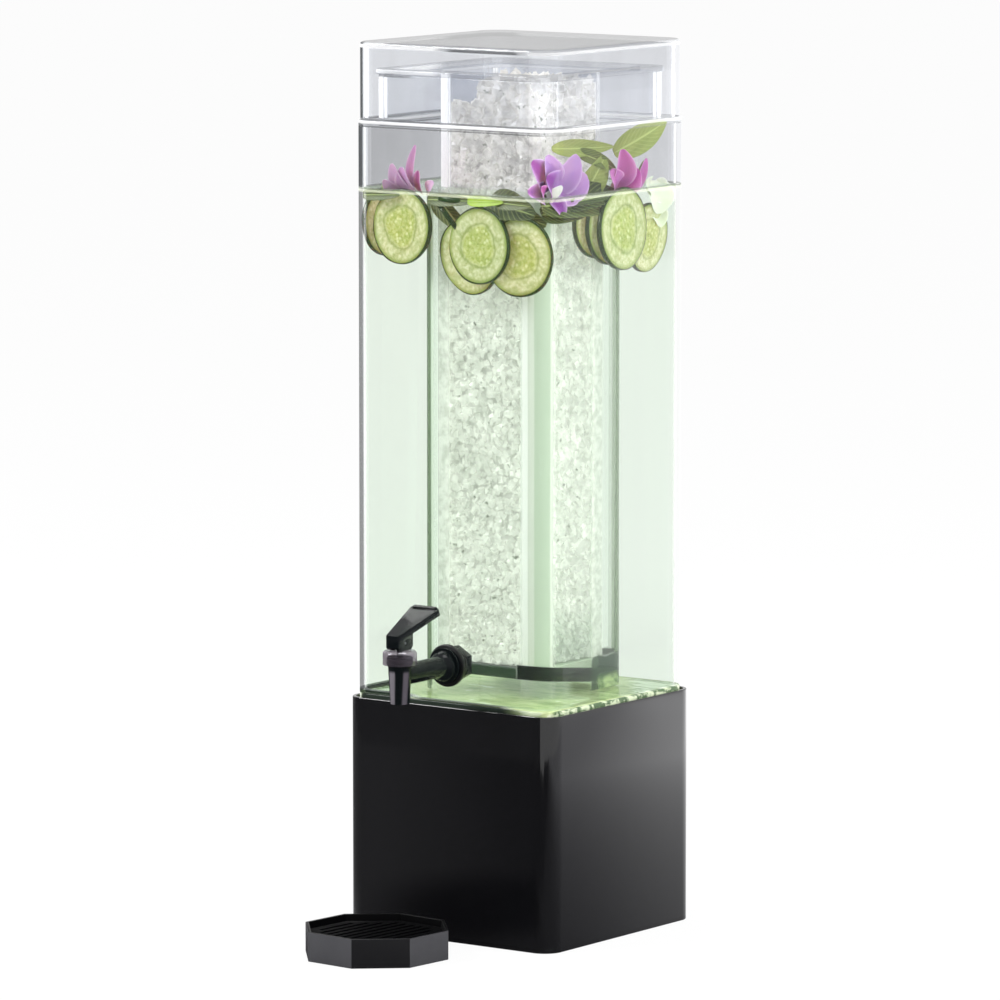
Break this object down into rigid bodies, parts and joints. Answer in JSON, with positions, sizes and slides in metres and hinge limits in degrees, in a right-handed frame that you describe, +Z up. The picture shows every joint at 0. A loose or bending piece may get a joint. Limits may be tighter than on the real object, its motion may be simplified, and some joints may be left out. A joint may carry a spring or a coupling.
{
  "type": "beverage dispenser",
  "caption": "Square clear acrylic drink dispenser on a black box base, with a lift-out ice chamber, lid, lever tap and octagonal drip tray.",
  "frame": {"origin": "middle of the base box's underside, on the table", "axes": "+Z up; -Y is the front, where the tap is; +X is on the right of a viewer who faces the tap"},
  "size_m": [0.19, 0.3177, 0.6725],
  "materials": {
    "black_acrylic": "polished black acrylic with soft reflections",
    "clear_acrylic": "polished clear acrylic, faintly grey-green at its edges",
    "black_plastic": "glossy black moulded plastic",
    "smoke_plastic": "smoke-clear moulded plastic",
    "silicone": "matt black silicone",
    "tray_plastic": "satin black moulded plastic",
    "steel": "plain steel pin",
    "drink": "pale green drink, clear",
    "ice": "crushed ice, half clear",
    "cucumber": "wet cucumber flesh with a dark green rind",
    "petal": "soft petals, white to magenta",
    "leaf": "fresh green leaf"
  },
  "bodies": {
    "base": {"base_bottom_plate": "black_acrylic", "base_walls": "black_acrylic", "base_top_plate": "black_acrylic"},
    "container": {"container_floor": "clear_acrylic", "container_walls": "clear_acrylic", "container_shoulder": "clear_acrylic", "container_neck": "clear_acrylic", "tap_body": "black_plastic", "tap_outer_washer": "silicone", "tap_inner_washer": "silicone", "tap_lock_nut": "black_plastic", "stem_diaphragm": "silicone", "tap_bonnet": "smoke_plastic"},
    "ice_chamber": {"ice_tube_floor": "clear_acrylic", "ice_tube": "clear_acrylic", "ice_chamber_flange": "clear_acrylic"},
    "lid": {"lid_skirt": "clear_acrylic", "lid_top_plate": "clear_acrylic"},
    "valve": {"valve_stem": "black_plastic", "seat_cup": "silicone", "lever_pin": "steel"},
    "lever": {"tap_lever": "black_plastic"},
    "drip_tray": {"drip_tray_pan": "tray_plastic"},
    "grate": {"drip_grate": "tray_plastic"}
  },
  "joints": [
    {"name": "container_lift", "type": "slide", "parent": "base", "child": "container", "axis": [0, 0, 1], "range_m": [0, 0.25]},
    {"name": "ice_chamber_lift", "type": "slide", "parent": "container", "child": "ice_chamber", "axis": [0, 0, 1], "range_m": [0, 0.46]},
    {"name": "lid_lift", "type": "slide", "parent": "ice_chamber", "child": "lid", "axis": [0, 0, 1], "range_m": [0, 0.08]},
    {"name": "stem_lift", "type": "slide", "parent": "container", "child": "valve", "axis": [0, 0, 1], "range_m": [0, 0.00353], "stiffness_N_per_m": 400, "springref_m": -0.001},
    {"name": "lever_tilt", "type": "hinge", "parent": "valve", "child": "lever", "pos_m": [0, -0.153, 0.234], "axis": [1, 0, 0], "range_deg": [0, 45]},
    {"name": "tray_lift", "type": "slide", "parent": "base", "child": "drip_tray", "axis": [0, 0, 1], "range_m": [0, 0.1]},
    {"name": "grate_lift", "type": "slide", "parent": "drip_tray", "child": "grate", "axis": [0, 0, 1], "range_m": [0, 0.03]}
  ],
  "couplings": [
    {"joint": "lever_tilt", "follows": "stem_lift", "rad_per_m": 222.22}
  ]
}
